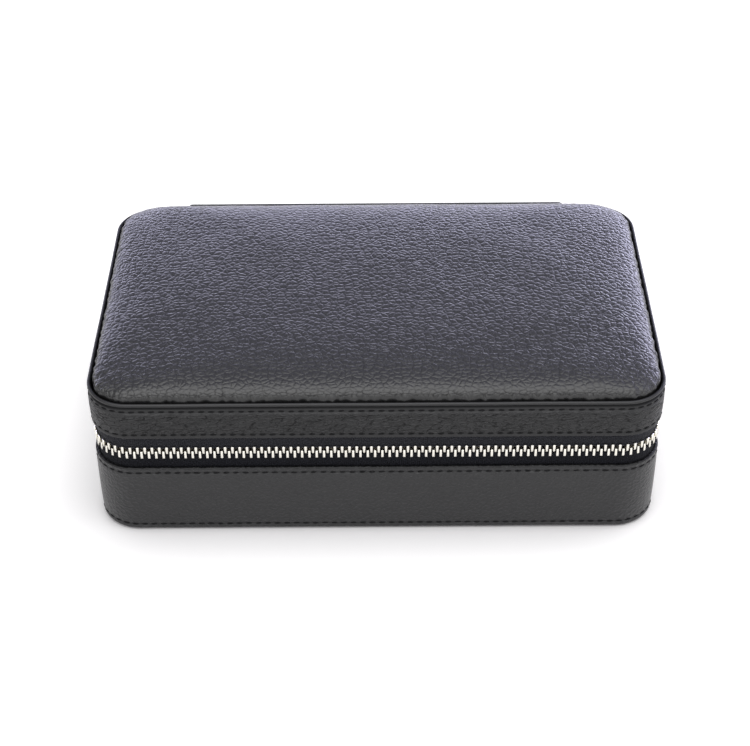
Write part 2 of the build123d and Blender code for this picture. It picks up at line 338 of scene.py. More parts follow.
def onion(half_x, half_y, radius, ring_insets, spacing):
    """A lattice over a rounded rectangle, whose outer rings follow its outline and turn square inward."""
    rings = len(ring_insets)
    deepest = ring_insets[-1] + spacing * 0.6
    inner_x, inner_y = half_x - deepest, half_y - deepest
    cells_x = max(1, round(2 * inner_x / spacing))
    cells_y = max(1, round(2 * inner_y / spacing))
    columns, rows = cells_x + 2 * rings, cells_y + 2 * rings
    place = np.zeros((columns + 1, rows + 1, 2))
    ring = np.zeros((columns + 1, rows + 1), int) + rings
    xs, ys = np.linspace(-inner_x, inner_x, cells_x + 1), np.linspace(-inner_y, inner_y, cells_y + 1)
    place[rings : columns - rings + 1, rings : rows - rings + 1] = np.stack(
        np.meshgrid(xs, ys, indexing="ij"), -1
    )
    for k, inset in enumerate(ring_insets):
        bend = radius * (1 - inset / deepest)
        flat_x, flat_y = half_x - inset - bend, half_y - inset - bend
        along, outward = ring_side(columns - 2 * k, flat_x, half_y - inset, bend)
        span = slice(k, columns - k + 1)
        place[span, k] = np.stack((along, -outward), -1)
        place[span, rows - k] = np.stack((along, outward), -1)
        along, outward = ring_side(rows - 2 * k, flat_y, half_x - inset, bend)
        span_y = slice(k, rows - k + 1)
        place[k, span_y] = np.stack((-outward, along), -1)
        place[columns - k, span_y] = np.stack((outward, along), -1)
        ring[span, k] = ring[span, rows - k] = k
        ring[k, span_y] = ring[columns - k, span_y] = k
    return place, ring


def inward(place, half_x, half_y, radius, growth=0.0):
    """How far inside a rounded rectangle each place lies, where the corners open by growth as it shrinks."""
    shallow, deep = np.zeros(place.shape[:-1]), np.full(place.shape[:-1], min(half_x, half_y))
    for _ in range(24):
        depth = (shallow + deep) / 2
        bend = np.minimum(radius + growth * depth, np.minimum(half_x, half_y) - depth)
        over_x = np.abs(place[..., 0]) - (half_x - depth - bend)
        over_y = np.abs(place[..., 1]) - (half_y - depth - bend)
        outside = np.hypot(np.maximum(over_x, 0), np.maximum(over_y, 0))
        outside += np.minimum(np.maximum(over_x, over_y), 0) - bend
        deep = np.where(outside > 0, depth, deep)
        shallow = np.where(outside > 0, shallow, depth)
    return (shallow + deep) / 2


def shell(name, place, outer, inner, embed=None, flat=None):
    """A closed sheet over a lattice, between the heights of its faces. embed moves (x, y, height)."""
    columns, rows = place.shape[:2]
    top = np.concatenate((place, outer[..., None]), -1).reshape(-1, 3)
    bottom = np.concatenate((place, inner[..., None]), -1).reshape(-1, 3)
    faces, _ = quads(columns, rows)
    border = [(c, 0) for c in range(columns)] + [(columns - 1, r) for r in range(1, rows)]
    border += [(c, rows - 1) for c in range(columns - 2, -1, -1)] + [(0, r) for r in range(rows - 2, 0, -1)]
    edge = np.array([c * rows + r for c, r in border])
    after = np.roll(edge, -1)
    under = columns * rows
    sides = np.stack((edge + under, after + under, after, edge), -1)
    every = np.vstack((faces, faces[:, ::-1] + under, sides))
    points = np.vstack((top, bottom))
    cut = (place if flat is None else flat).reshape(-1, 2)
    cut = np.vstack((cut, cut))
    if embed:
        points = np.array([embed(*point) for point in points])
    return new_piece(name, points, every.tolist(), cut[every])


def repeat(name, unit, places):
    """One mesh of many copies of a small one. Each place is an origin and its three axes."""
    points, faces = unit
    all_points = [np.asarray(origin) + points @ np.asarray(axes) for origin, axes in places]
    shifts = [number * len(points) for number in range(len(places))]
    all_faces = [[c + shift for c in face] for shift in shifts for face in faces]
    return new_piece(name, np.vstack(all_points), all_faces)


def with_modifiers(piece):
    """A piece as its modifiers leave it."""
    return piece.evaluated_get(bpy.context.evaluated_depsgraph_get())


def subdivide(piece, levels):
    """Subdivides a piece smoothly and fixes the result in its mesh."""
    piece.modifiers.new("smooth", "SUBSURF").levels = levels
    bpy.context.view_layer.update()
    mesh = bpy.data.meshes.new_from_object(with_modifiers(piece))
    piece.modifiers.clear()
    piece.data = mesh
    mesh.shade_smooth()


def points_of(mesh):
    """A mesh's points in millimetres."""
    flat = np.zeros(len(mesh.vertices) * 3)
    mesh.vertices.foreach_get("co", flat)
    return flat.reshape(-1, 3) / MM


def move_points(mesh, points):
    """Puts a mesh's points, given in millimetres, in place."""
    mesh.vertices.foreach_set("co", (np.asarray(points) * MM).ravel())
    mesh.update()


def stuff(piece, glued, cap):
    """Lets cloth fill a piece out from inside. Glued points stay, and none moves further than the cap."""
    before = points_of(piece.data)
    piece.vertex_groups.new(name="glued").add(glued, 1.0, "REPLACE")
    cloth = piece.modifiers.new("stuffing", "CLOTH")
    cloth.settings.vertex_group_mass = "glued"
    cloth.settings.use_pressure = True
    cloth.settings.uniform_pressure_force = stuffing_pressure
    cloth.settings.effector_weights.gravity = 0
    for number in range(stuffing_frames):
        bpy.context.scene.frame_set(number + 1)
    moved = points_of(with_modifiers(piece).data) - before
    piece.modifiers.remove(cloth)
    far = np.linalg.norm(moved, axis=1, keepdims=True)
    moved *= np.minimum(1, cap / np.maximum(far, 1e-6))
    move_points(piece.data, before + moved)
    bpy.context.scene.frame_set(1)


# Materials

class Shade:
    """A socket of a recipe. Arithmetic on it adds Math nodes."""

    def __init__(self, recipe, socket):
        self.recipe, self.socket = recipe, socket

    def maths(self, operation, *others):
        values = dict(enumerate((self, *others)))
        return self.recipe.node("ShaderNodeMath", {"operation": operation}, values)

    def __add__(self, other):
        return self.maths("ADD", other)

    __radd__ = __add__

    def __mul__(self, other):
        return self.maths("MULTIPLY", other)

    __rmul__ = __mul__

    def __sub__(self, other):
        return self.maths("SUBTRACT", other)

    def __rsub__(self, other):
        return self.maths("MULTIPLY_ADD", -1.0, other)

    def beside(self, output):
        """Another output of the same node."""
        return Shade(self.recipe, self.socket.node.outputs[output])


class Recipe:
    """The nodes of a material or of the world."""

    def __init__(self, owner):
        owner.use_nodes = True
        self.owner, self.tree = owner, owner.node_tree
        self.tree.nodes.clear()

    def node(self, kind, settings=None, inputs=None, output=0):
        """Adds a node: its settings first, then its sockets' values or links. Gives one of its outputs."""
        made = self.tree.nodes.new(kind)
        for name, value in (settings or {}).items():
            setattr(made, name, value)
        for name, value in (inputs or {}).items():
            if isinstance(value, Shade):
                self.tree.links.new(value.socket, made.inputs[name])
            else:
                made.inputs[name].default_value = value
        return Shade(self, made.outputs[output]) if made.outputs else None

    def flat_cut(self, stretch=1.0):
        """The place on the uncut sheet, in millimetres, with a grain that is stretched along the piece."""
        place = self.node("ShaderNodeUVMap", {"uv_map": "flat_cut"})
        return self.scaled(place, (1 / stretch, 1, 1))

    def solid(self):
        """The place in the object, in millimetres, for a piece with no sheet of its own."""
        place = self.node("ShaderNodeTexCoord", output="Object")
        return self.scaled(place, (1 / MM,) * 3)

    def apart(self, place):
        """How far along and how far across its strip a place lies."""
        along = self.node("ShaderNodeSeparateXYZ", {}, {"Vector": place}, "X")
        return along, along.beside("Y")

    def uprightness(self):
        """1 where a surface faces the top of its piece, and 0 where it is upright."""
        facing = self.node("ShaderNodeTexCoord", output="Normal")
        return self.node("ShaderNodeSeparateXYZ", {}, {"Vector": facing}, "Z")

    def clear_of(self, across, shaded_seams, reach, low=0.0):
        """Low in the seams of a strip, and 1 beside them: a mask of painted shade along seams, grooves and
        edges.
        """
        clear = 1
        for seam in shaded_seams:
            away = (across - seam).maths("ABSOLUTE")
            clear = self.ramp(away, reach * 0.3, reach, low, 1.0) * clear
        return clear

    def scaled(self, vector, factors):
        return self.node("ShaderNodeVectorMath", {"operation": "MULTIPLY"}, {0: vector, 1: factors})

    def shifted(self, vector, amount):
        return self.node("ShaderNodeVectorMath", {"operation": "ADD"}, {0: vector, 1: amount})

    def noise(self, place, size, detail=2.0, roughness=0.5, output="Fac"):
        values = {"Vector": place, "Scale": 1 / size, "Detail": detail, "Roughness": roughness}
        return self.node("ShaderNodeTexNoise", {}, values, output)

    def warped(self, place, size, amount):
        """A place pushed about by noise."""
        push = self.noise(place, size, 2.0, output="Color")
        centred = self.shifted(push, (-0.5, -0.5, -0.5))
        return self.shifted(place, self.scaled(centred, (amount, amount, amount)))

    def cells(self, place, size, feature="DISTANCE_TO_EDGE", dimensions="2D", randomness=1.0):
        """The distance from the edges of a network of cells, or another feature of it."""
        values = {"Vector": place, "Scale": 1 / size, "Randomness": randomness}
        settings = {"voronoi_dimensions": dimensions, "feature": feature}
        return self.node("ShaderNodeTexVoronoi", settings, values, "Distance")

    def ramp(self, value, low, high, start=0.0, end=1.0):
        """Turns a range of values smoothly into another."""
        names = ("Value", "From Min", "From Max", "To Min", "To Max")
        values = dict(zip(names, (value, low, high, start, end)))
        return self.node("ShaderNodeMapRange", {"interpolation_type": "SMOOTHSTEP"}, values)

    def mixed(self, share, first, second):
        """Two colours mixed by a share."""
        colours = {0: share, 6: rgba(first), 7: rgba(second)}
        return self.node("ShaderNodeMix", {"data_type": "RGBA"}, colours, 2)

    def bump(self, height, depth):
        """A normal from a height of 0 to 1 that stands for a depth in millimetres."""
        values = {"Height": height, "Distance": depth * MM, "Strength": 1.0}
        return self.node("ShaderNodeBump", {}, values)

    def blended(self, share, first, second):
        """Two shaders mixed by a share."""
        return self.node("ShaderNodeMixShader", {}, {0: share, 1: first, 2: second})

    def show(self, shader, output="ShaderNodeOutputMaterial"):
        """Ends the recipe in a shader, and gives what it was written for."""
        self.node(output, {}, {"Surface": shader})
        return self.owner

    def surface(self, inputs):
        """Ends the recipe in a Principled surface."""
        return self.show(self.node("ShaderNodeBsdfPrincipled", {}, inputs))


def rgba(colour):
    return (*colour, 1.0) if isinstance(colour, tuple) and len(colour) == 3 else colour


def new_recipe(name):
    return Recipe(bpy.data.materials.new(name))


# The crease colours are painted shade in the hollows of the grain.
shaded_crease_black = (0.006, 0.006, 0.0065)
crease_shadow = (0.004, 0.004, 0.0045)
small_black = (0.018, 0.018, 0.0187)
small_worn = (0.027, 0.027, 0.028)
pad_black = (0.018, 0.018, 0.0187)
pad_worn = (0.025, 0.025, 0.026)
pad_shaded_crease = (0.012, 0.012, 0.0125)
lid_black = (0.0095, 0.0095, 0.0106)
lid_worn = (0.015, 0.015, 0.0165)
band_black = (0.0142, 0.0142, 0.0155)
band_worn = (0.02, 0.02, 0.0218)
row_shade = 0.65


def leather_surface(recipe, height, wear, depth, roughness, faces,
                    shaded_crease=shaded_crease_black, shaded=0.7, shaded_seams=1, gloss=0.5):
    """Black leather, smoother and paler on its raised grain, with painted shade in its creases: a darker
    crease colour and a dark diffuse mixed in. Shaded is the light that its creases lose; shaded seams add the
    same painted shade along seams, grooves and edges.
    """
    face = recipe.mixed(wear, *faces)
    skin = recipe.node("ShaderNodeBsdfPrincipled", {}, {
        "Base Color": recipe.mixed(recipe.ramp(height, 0.15, 0.6), shaded_crease, face),
        "Roughness": recipe.ramp(height, 0.0, 1.0, *roughness),
        "Specular IOR Level": gloss,
        "Normal": recipe.bump(height, depth),
    })
    # A dark diffuse mixed into the creases, seams and edges: painted shade.
    painted_crease_shade = recipe.node("ShaderNodeBsdfDiffuse", {}, {"Color": rgba(crease_shadow)})
    lost = (1 - recipe.ramp(height, 0.0, 0.55) * shaded_seams) * shaded
    return recipe.show(recipe.blended(lost, skin, painted_crease_shade))


def pebbled_leather():
    """The lid's padded top: soft pebbles parted by narrow creases, with painted shade in the creases where it
    slopes.
    """
    recipe = new_recipe("pebbled_leather")
    pebble_size, small_size = 1.78, 1.05
    place = recipe.warped(recipe.flat_cut(1.1), 4.0, 2.0)
    gap = recipe.cells(place, pebble_size)
    middle = recipe.cells(place, pebble_size, "F1")
    small_gap = recipe.cells(recipe.flat_cut(), small_size)
    fine = recipe.noise(place, 0.6, 3.0)
    broken_gap = gap + recipe.noise(place, 1.3) * 0.3 - 0.15
    pebble = recipe.ramp(broken_gap, -0.06, 0.3) * 0.6 + (1 - recipe.ramp(middle, 0.0, 0.9)) * 0.4
    grain = pebble * 0.76 + recipe.ramp(small_gap, -0.05, 0.3) * 0.14 + fine * 0.1
    upright = recipe.uprightness()
    height = 1 - (1 - grain) * recipe.ramp(upright, 0.0, 0.35)
    return leather_surface(recipe, height, recipe.noise(place, 9.0), 0.19, (0.34, 0.28),
                           (pad_black, pad_worn), pad_shaded_crease, shaded=recipe.ramp(upright, 0.95, 0.7) * 0.5)


def fine_leather(rows, edge):
    """The base's side: a low, soft grain, with painted shade in its creases, along its top edge and along its
    rows of stitches.
    """
    recipe = new_recipe("fine_leather")
    _, across = recipe.apart(recipe.flat_cut())
    place = recipe.warped(recipe.flat_cut(1.15), 4.0, 1.4)
    gap = recipe.cells(place, 1.7, randomness=0.9)
    grain = recipe.ramp(gap, 0.0, 0.4) * 0.24 + recipe.noise(place, 1.1, 4.0, 0.65) * 0.76
    # Painted shade along the rows of stitches and along the top edge.
    shaded_seams = recipe.clear_of(across, rows, row_shade, 0.8) * recipe.clear_of(across, [edge], 1.1, 0.3)
    return leather_surface(recipe, grain * 0.7 + 0.3, recipe.noise(place, 12.0), 0.6, (0.4, 0.32),
                           (band_black, band_worn), shaded_seams=shaded_seams, gloss=0.43)


def creased_leather(rows, groove, edge):
    """The lid's side: wavy creases that lean along the strip between its two rows of stitches, with painted
    shade in its creases, along the rows, in the groove under the rim's strand and on the rim's inner top.
    """
    recipe = new_recipe("creased_leather")
    along, across = recipe.apart(recipe.flat_cut())
    leaning = recipe.node("ShaderNodeCombineXYZ", {}, {"X": along * 0.28, "Y": across - along * 0.14})
    place = recipe.warped(leaning, 2.8, 2.0)
    gap = recipe.cells(place, 1.4)
    swell = recipe.noise(place, 1.3, 3.0)
    broken_gap = gap + swell * 0.3 - 0.15
    ripple = (recipe.noise(recipe.warped(leaning, 1.6, 0.9), 0.8, 1.0) - 0.5).maths("ABSOLUTE")
    cracks = recipe.ramp(broken_gap, -0.05, 0.2) * 0.9 + 0.1
    lines = cracks * (recipe.ramp(ripple, 0.0, 0.07) * 0.75 + 0.25)
    creased = lines * 0.75 + swell * 0.25
    low_side = recipe.ramp(across, rows[0] + 0.3, rows[0] + 1.3)
    high_side = recipe.ramp(across, rows[1] - 0.3, rows[1] - 1.6)
    height = 1 - (1 - creased) * low_side * high_side
    # Painted shade: along the rows of stitches, in the groove under the rim's strand, and on the rim's inner
    # top where the pad shades it.
    shaded_seams = recipe.clear_of(across, rows, row_shade, 0.8)
    shaded_seams *= recipe.clear_of(across, [groove - 0.05], 0.95)
    shaded_seams *= recipe.clear_of(across, [edge + 0.75], 0.8, 0.15)
    return leather_surface(recipe, height, recipe.noise(place, 10.0), 0.5, (0.5, 0.44), (lid_black, lid_worn),
                           shaded_seams=shaded_seams, gloss=0.4)


def plain_leather():
    """Grain for the pieces that have no sheet of their own, with a little painted shade in its creases."""
    recipe = new_recipe("plain_leather")
    place = recipe.warped(recipe.solid(), 4.0, 1.2)
    gap = recipe.cells(place, 1.0, dimensions="3D", randomness=0.9)
    height = recipe.ramp(gap, -0.1, 0.3) * 0.6 + recipe.noise(place, 0.6) * 0.4
    return leather_surface(recipe, height, recipe.noise(place, 9.0), 0.07, (0.46, 0.4),
                           (small_black, small_worn), shaded=0.25)


def plain_stuff(name, grain, colours, roughness, relief=0.0, metallic=0.0, gloss=0.5):
    """A material that follows one fine grain. Its roughness is a number or a ramp over that grain."""
    recipe = new_recipe(name)
    height = recipe.noise(recipe.solid(), *grain)
    inputs = {"Base Color": recipe.mixed(height, *colours), "Metallic": metallic, "Specular IOR Level": gloss}
    inputs["Roughness"] = recipe.ramp(height, *roughness) if isinstance(roughness, tuple) else roughness
    if relief:
        inputs["Normal"] = recipe.bump(height, relief)
    return recipe.surface(inputs)


def woven_tape(name, dark, light, sheen):
    """The zip's tape: a close twill of black yarn. It comes as a lit and a shaded copy: painted light on the
    upper tape and painted shade on the lower one.
    """
    recipe = new_recipe(name)
    rib_pitch, pick_pitch = 0.62, 0.5
    place = recipe.flat_cut()
    along, across = recipe.apart(place)
    rib = (along * (2 * math.pi / rib_pitch)).maths("SINE") * 0.5 + 0.5
    pick = ((across + along * 0.5) * (2 * math.pi / pick_pitch)).maths("SINE") * 0.5 + 0.5
    fuzz = recipe.ramp(recipe.noise(place, 0.5, 1.0), 0.36, 0.64)
    height = rib * 0.25 + pick * 0.25 + fuzz * 0.5
    return recipe.surface({
        "Base Color": recipe.mixed(height, dark, light),
        "Roughness": 0.85,
        "Specular IOR Level": sheen,
        "Sheen Weight": sheen * 0.6,
        "Sheen Roughness": 0.5,
        "Normal": recipe.bump(height, 0.2),
    })


def suede():
    """Brushed suede lining, with a nap that lies unevenly."""
    recipe = new_recipe("suede")
    place = recipe.solid()
    brushed = recipe.noise(place, 7.0, 3.0, 0.6)
    nap = recipe.noise(place, 0.35, 3.0, 0.7)
    return recipe.surface({
        "Base Color": recipe.mixed(brushed * 0.6 + nap * 0.4, (0.36, 0.325, 0.285), (0.46, 0.42, 0.375)),
        "Roughness": 0.95,
        "Specular IOR Level": 0.15,
        "Sheen Weight": 0.25,
        "Sheen Roughness": 0.6,
        "Normal": recipe.bump(nap * 0.7 + brushed * 0.6, 0.16),
    })


groove = rim - strand_groove
lid_section = leather_profile(lid_edge, rim, lid_rows, lid_roll, (groove,), back_roll=0.6)
base_section = leather_profile(base_low.z, base_edge, base_rows, foot_roll)
pad_leather = pebbled_leather()
base_leather = fine_leather(along_section(base_section, base_rows), *along_section(base_section, [base_edge]))
lid_leather = creased_leather(
    along_section(lid_section, lid_rows), *along_section(lid_section, (groove, rim)))
small_leather = plain_leather()
thread = plain_stuff(
    "waxed_thread", (0.3, 2.0), ((0.003, 0.003, 0.0034), (0.007, 0.007, 0.0077)), 0.7, 0.06, gloss=0.15)
# The upper tape is the lit copy and the lower one the shaded copy, darker and less glossy: painted light and
# painted shade.
lit_upper_cloth = woven_tape("lit_upper_tape_cloth", (0.003, 0.003, 0.0044), (0.036, 0.037, 0.047), 0.16)
shaded_lower_cloth = woven_tape("shaded_lower_tape_cloth", (0.001, 0.001, 0.0016), (0.02, 0.0208, 0.028), 0.08)
zip_metal = plain_stuff(
    "zip_metal", (0.5, 3.0), ((0.86, 0.84, 0.78), (0.77, 0.74, 0.66)), (0.2, 0.8, 0.225, 0.375), 0.02, 1.0)
slider_metal = plain_stuff(
    "slider_metal", (0.8, 3.0), ((0.6, 0.59, 0.57), (0.5, 0.49, 0.475)), (0.2, 0.8, 0.18, 0.3), 0.01, 1.0)
lining_suede = suede()
board = plain_stuff("grey_board", (0.8, 4.0, 0.65), ((0.06, 0.058, 0.055), (0.10, 0.095, 0.09)), 0.9, 0.08)
glass = plain_stuff(
    "looking_glass", (25.0, 2.0), ((0.9, 0.91, 0.91), (0.87, 0.88, 0.88)), (0.0, 1.0, 0.015, 0.035), 0.0, 1.0)
plastic = plain_stuff(
    "frame_plastic", (0.25, 2.0), ((0.02, 0.02, 0.021), (0.032, 0.032, 0.034)), (0.0, 1.0, 0.45, 0.6), 0.02)


# Leather work

def stitch_unit():
    """One stitch, lying along X, with Y outward: a short thread whose ends dive into the leather."""
    sections, sides = 7, 6
    share, turn = np.meshgrid(np.linspace(-1, 1, sections), np.arange(sides) / sides, indexing="ij")
    radius, angle = thread_radius * (1 - 0.35 * share**4), 2 * math.pi * turn
    out = radius * np.cos(angle) - stitch_dip * share**2
    points = np.stack((share * stitch_length / 2, out, radius * np.sin(angle)), -1).reshape(-1, 3)
    faces, _ = quads(sections, sides, False, True)
    ends = [list(range(sides))[::-1], list(range(len(points) - sides, len(points)))]
    return points, faces[:, (0, 3, 2, 1)].tolist() + ends


def stitch_row(name, body, height, seed):
    """A row of stitches round the case, stopping where the hinge strip covers it."""
    draw = np.random.default_rng(seed)
    lean, unevenness = 0.06, 0.05
    hidden = room_of("hinge_spine")[1].x + stitch_margin
    length = way_round() - 2 * hidden
    count = round(length / stitch_pitch)
    places = []
    for number in range(count + 1):
        (x, y), (out_x, out_y) = on_outline(hidden + length * number / count)
        tilt = draw.normal(lean, unevenness)
        out = np.array((out_x, out_y, 0))
        heading = np.array((-out_y, out_x, 0)) * math.cos(tilt) + np.array((0, 0, math.sin(tilt)))
        stretch = draw.normal(1, 0.04)
        seat = np.array((x, y, height + draw.normal(0, unevenness))) - out * furrow_depth
        places.append((seat, (heading * stretch, out, np.cross(heading, out))))
    finish_piece(repeat(name, stitch_unit(), places), body, thread, "grained_leather")


def stitch_puller():
    """A row of small stitches round the puller's leather tab, on each of its faces."""
    low, high = room_of("puller_tab")
    rivet_low, rivet_high = room_of("puller_rivet")
    inset, rivet_head, rivet_margin, pitch = 0.9, 0.4, 0.6, 1.9
    length_share, width_share, sunk = 0.52, 0.6, 0.03
    top = rivet_low.z - rivet_margin
    half_y, half_z = (high.y - low.y) / 2 - inset, (top - low.z - inset) / 2
    middle_y, middle_z = (high.y + low.y) / 2, (top + low.z + inset) / 2
    places = []
    for face_x, side in ((rivet_high.x - rivet_head, 1), (rivet_low.x + rivet_head, -1)):
        out = np.array((side * width_share, 0, 0))
        for (y, z), (out_y, out_z) in round_rectangle(half_y, half_z, pitch):
            heading = np.array((0, -out_z, out_y)) * length_share
            seat = np.array((face_x - side * sunk, middle_y + y, middle_z + z))
            places.append((seat, (heading, out, np.cross(heading, out))))
    finish_piece(repeat("puller_stitches", stitch_unit(), places), "puller", thread, "grained_leather")


def make_bands():
    """The leather round the lid and round the base, each with its two rows of stitches."""
    for body, section, material, rows, seed in (("lid", lid_section, lid_leather, lid_rows, 11),
                                                ("base", base_section, base_leather, base_rows, 21)):
        band = wrapped_band(f"{body}_band", section, 1.0, sway=0.05)
        finish_piece(band, body, material, "grained_leather", f"{body}_side_leather")
        for number, height in enumerate(rows):
            stitch_row(f"{body}_stitches_{number + 1}", body, height, seed + number)


def crown(depth, half_y, rise, steepness=crown_steepness):
    """The padding's height over the rim, at a distance inside its edge."""
    share = np.clip(1 - depth / half_y, 0, 1)
    return rise * (1 - share**crown_fullness) ** (1 / steepness)


def make_lid_pad():
    """The padded panel: a closed, crowned form, filled out by cloth, with its edge gathered under the rim."""
    half_x, half_y, radius = outline(pad_inset - pad_overhang)
    skirt = (pad_low.z, *(rim - depth for depth in skirt_depths))
    rings = (0, 0.01, 0.02, 0.03, 0.25, 0.65, 1.2, 2.0, 3.1, 4.5, 6.2, 8.2, 10.4, 12.8)
    place, ring = onion(half_x, half_y, radius, rings, pad_spacing)
    depth = inward(place, half_x, half_y, radius, corner_growth)
    cornered = (np.abs(place) - (half_x, half_y)) / corner_reach + 1
    forward = 1 - (place[..., 1] + half_y) / front_reach
    softness = np.where(place[..., 1] < 0, corner_softness, back_softness)
    steepness = crown_steepness + front_fullness * np.clip(forward, 0, 1)
    steepness -= softness * np.clip(cornered, 0, 1).prod(-1)
    height = rim + crown(depth, half_y, pad_high.z - rim - pad_cap * 0.8, steepness)
    for number, low in enumerate(skirt):
        height[ring == number] = low
    under = np.where(ring == 0, pad_low.z, pad_low.z + 0.1)
    pad = shell("lid_pad", place, height, under)
    still = np.concatenate(((ring <= len(skirt)).ravel(), np.ones(ring.size, bool)))
    stuff(pad, np.flatnonzero(still).tolist(), pad_cap)
    subdivide(pad, 2)
    gather(pad, half_x, half_y, radius)
    lay_flat(pad, half_x, half_y, radius)
    finish_piece(pad, "lid", pad_leather, "grained_leather", "lid_top_leather", "lid_foam")


def gather(pad, half_x, half_y, radius):
    """Small folds where the leather is pulled down behind the rim, and a slight unevenness of the padding."""
    points = points_of(pad.data)
    depth = inward(points[:, None, :2], half_x, half_y, radius)[:, 0]
    core = np.array((half_x - radius, half_y - radius))
    nearest = np.clip(points[:, :2], -core, core)
    for index in np.flatnonzero(points[:, 2] > rim - fold_start):
        x, y, z = points[index]
        points[index, 2] += swell_depth * noise.noise(Vector((x / swell_pitch, y / swell_pitch, 3.0)))
        beyond = points[index, :2] - nearest[index]
        length = np.linalg.norm(beyond)
        if depth[index] < fold_zone and length > 0:
            outward = beyond / length
            edge_x, edge_y = nearest[index] + outward * radius
            place = Vector((edge_x / fold_pitch, edge_y / fold_pitch, z / fold_length))
            low = math.exp(-(((z - rim) / fold_reach) ** 2))
            fold = fold_depth * noise.noise(place) * low * (1.0 if outward[1] < 0.3 else back_fold_share)
            points[index, :2] += outward * (fold + front_overhang * low * max(0.0, -outward[1]))
            points[index, 2] += fold * 0.5
    move_points(pad.data, points)


def lay_flat(pad, half_x, half_y, radius):
    """Gives the pad its place on the uncut sheet, unrolled outward so that its grain isn't stretched."""
    mesh = pad.data
    points = points_of(mesh)
    depth = inward(points[:, None, :2], half_x, half_y, radius)[:, 0]
    shoulder = half_y * shoulder_share
    run = np.linspace(0, shoulder, 200)
    arc = running_length(np.stack((run, crown(run, half_y, pad_high.z - rim)), -1))
    extra = (arc[-1] - shoulder) - (np.interp(depth, run, arc) - np.minimum(depth, shoulder))
    extra += np.maximum(rim - points[:, 2], 0)
    core = np.array((half_x - shoulder, half_y - shoulder))
    beyond = points[:, :2] - np.clip(points[:, :2], -core, core)
    length = np.maximum(np.linalg.norm(beyond, axis=1, keepdims=True), 1e-6)
    cut = points[:, :2] + beyond / length * extra[:, None]
    corners = np.zeros(len(mesh.loops), int)
    mesh.loops.foreach_get("vertex_index", corners)
    mesh.uv_layers["flat_cut"].data.foreach_set("uv", cut[corners].astype(np.float32).ravel())


def make_spine():
    """The leather hinge strip on the back, between base and lid, and its stitches."""
    low, high = room_of("hinge_spine")
    top = high.z + spine_reach
    half_x, half_z, middle = high.x, (top - low.z) / 2, (top + low.z) / 2
    rings = (0, 0.08, 0.2, 0.36, 0.55, 0.9, 1.25, 1.5, 1.75, 2.0, 2.25, 2.5, 2.9, 3.5)
    place, _ = onion(half_x, half_z, spine_corner, rings, 0.9)
    depth = inward(place, half_x, half_z, spine_corner)
    outer = high.y - low.y - rolled_in(depth) - furrow(depth - spine_row)

    def against_the_back(x, y, height):
        return x, low.y + height, middle + y

    # Its sheet sits far off, clear of the painted shade along the base's rows and edge.
    spine = shell("hinge_spine_leather", place[::-1], outer[::-1], np.zeros(outer.shape), against_the_back,
                  flat=place[::-1] + spine_sheet_shift)
    finish_piece(spine, None, base_leather, "grained_leather", "hinge_spine")
    bend_at_hinge(spine)
    places = []
    out = np.array((0, 1, 0))
    for (x, z), (out_x, out_z) in round_rectangle(half_x - spine_row, half_z - spine_row, stitch_pitch):
        heading = np.array((-out_z, 0, out_x))
        seat = np.array((x, high.y - furrow_depth, middle + z))
        places.append((seat, (heading, out, np.cross(heading, out))))
    stitches = repeat("hinge_spine_stitches", stitch_unit(), places)
    finish_piece(stitches, None, thread, "grained_leather")
    bend_at_hinge(stitches)


def bend_at_hinge(piece):
    """Bakes a piece's place into its mesh."""
    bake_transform(piece)


# Zip

def tape_profile(beaded, plain):
    """A tape's section from its plain edge to its beaded one, a cord that carries the teeth, and back."""
    bead, neck = 0.52, 1.1
    half = tape_thickness / 2
    away = math.copysign(1, plain - beaded)
    heights = (plain, (plain + beaded) / 2, beaded + away * neck)
    section = [(chain_inset - half, height) for height in heights]
    for angle in range(150, -151, -30):
        turned = math.radians(angle)
        height = beaded + away * bead * (1 - math.cos(turned))
        section.append((chain_inset - bead * math.sin(turned), height))
    return section + [(chain_inset + half, height) for height in heights[::-1]]


def make_tapes():
    """The two tapes, each with its beaded edge towards the other."""
    for name, body, beaded, cloth in (("lower_zip_tape", "base", 1, shaded_lower_cloth),
                                      ("upper_zip_tape", "lid", 0, lit_upper_cloth)):
        ends = room_of(name)
        section = tape_profile(ends[beaded].z, ends[1 - beaded].z)
        piece = wrapped_band(f"{name}_cloth", section, 1.2, tape_end, way_round() - tape_end)
        finish_piece(piece, body, cloth, "zip_tape", name)


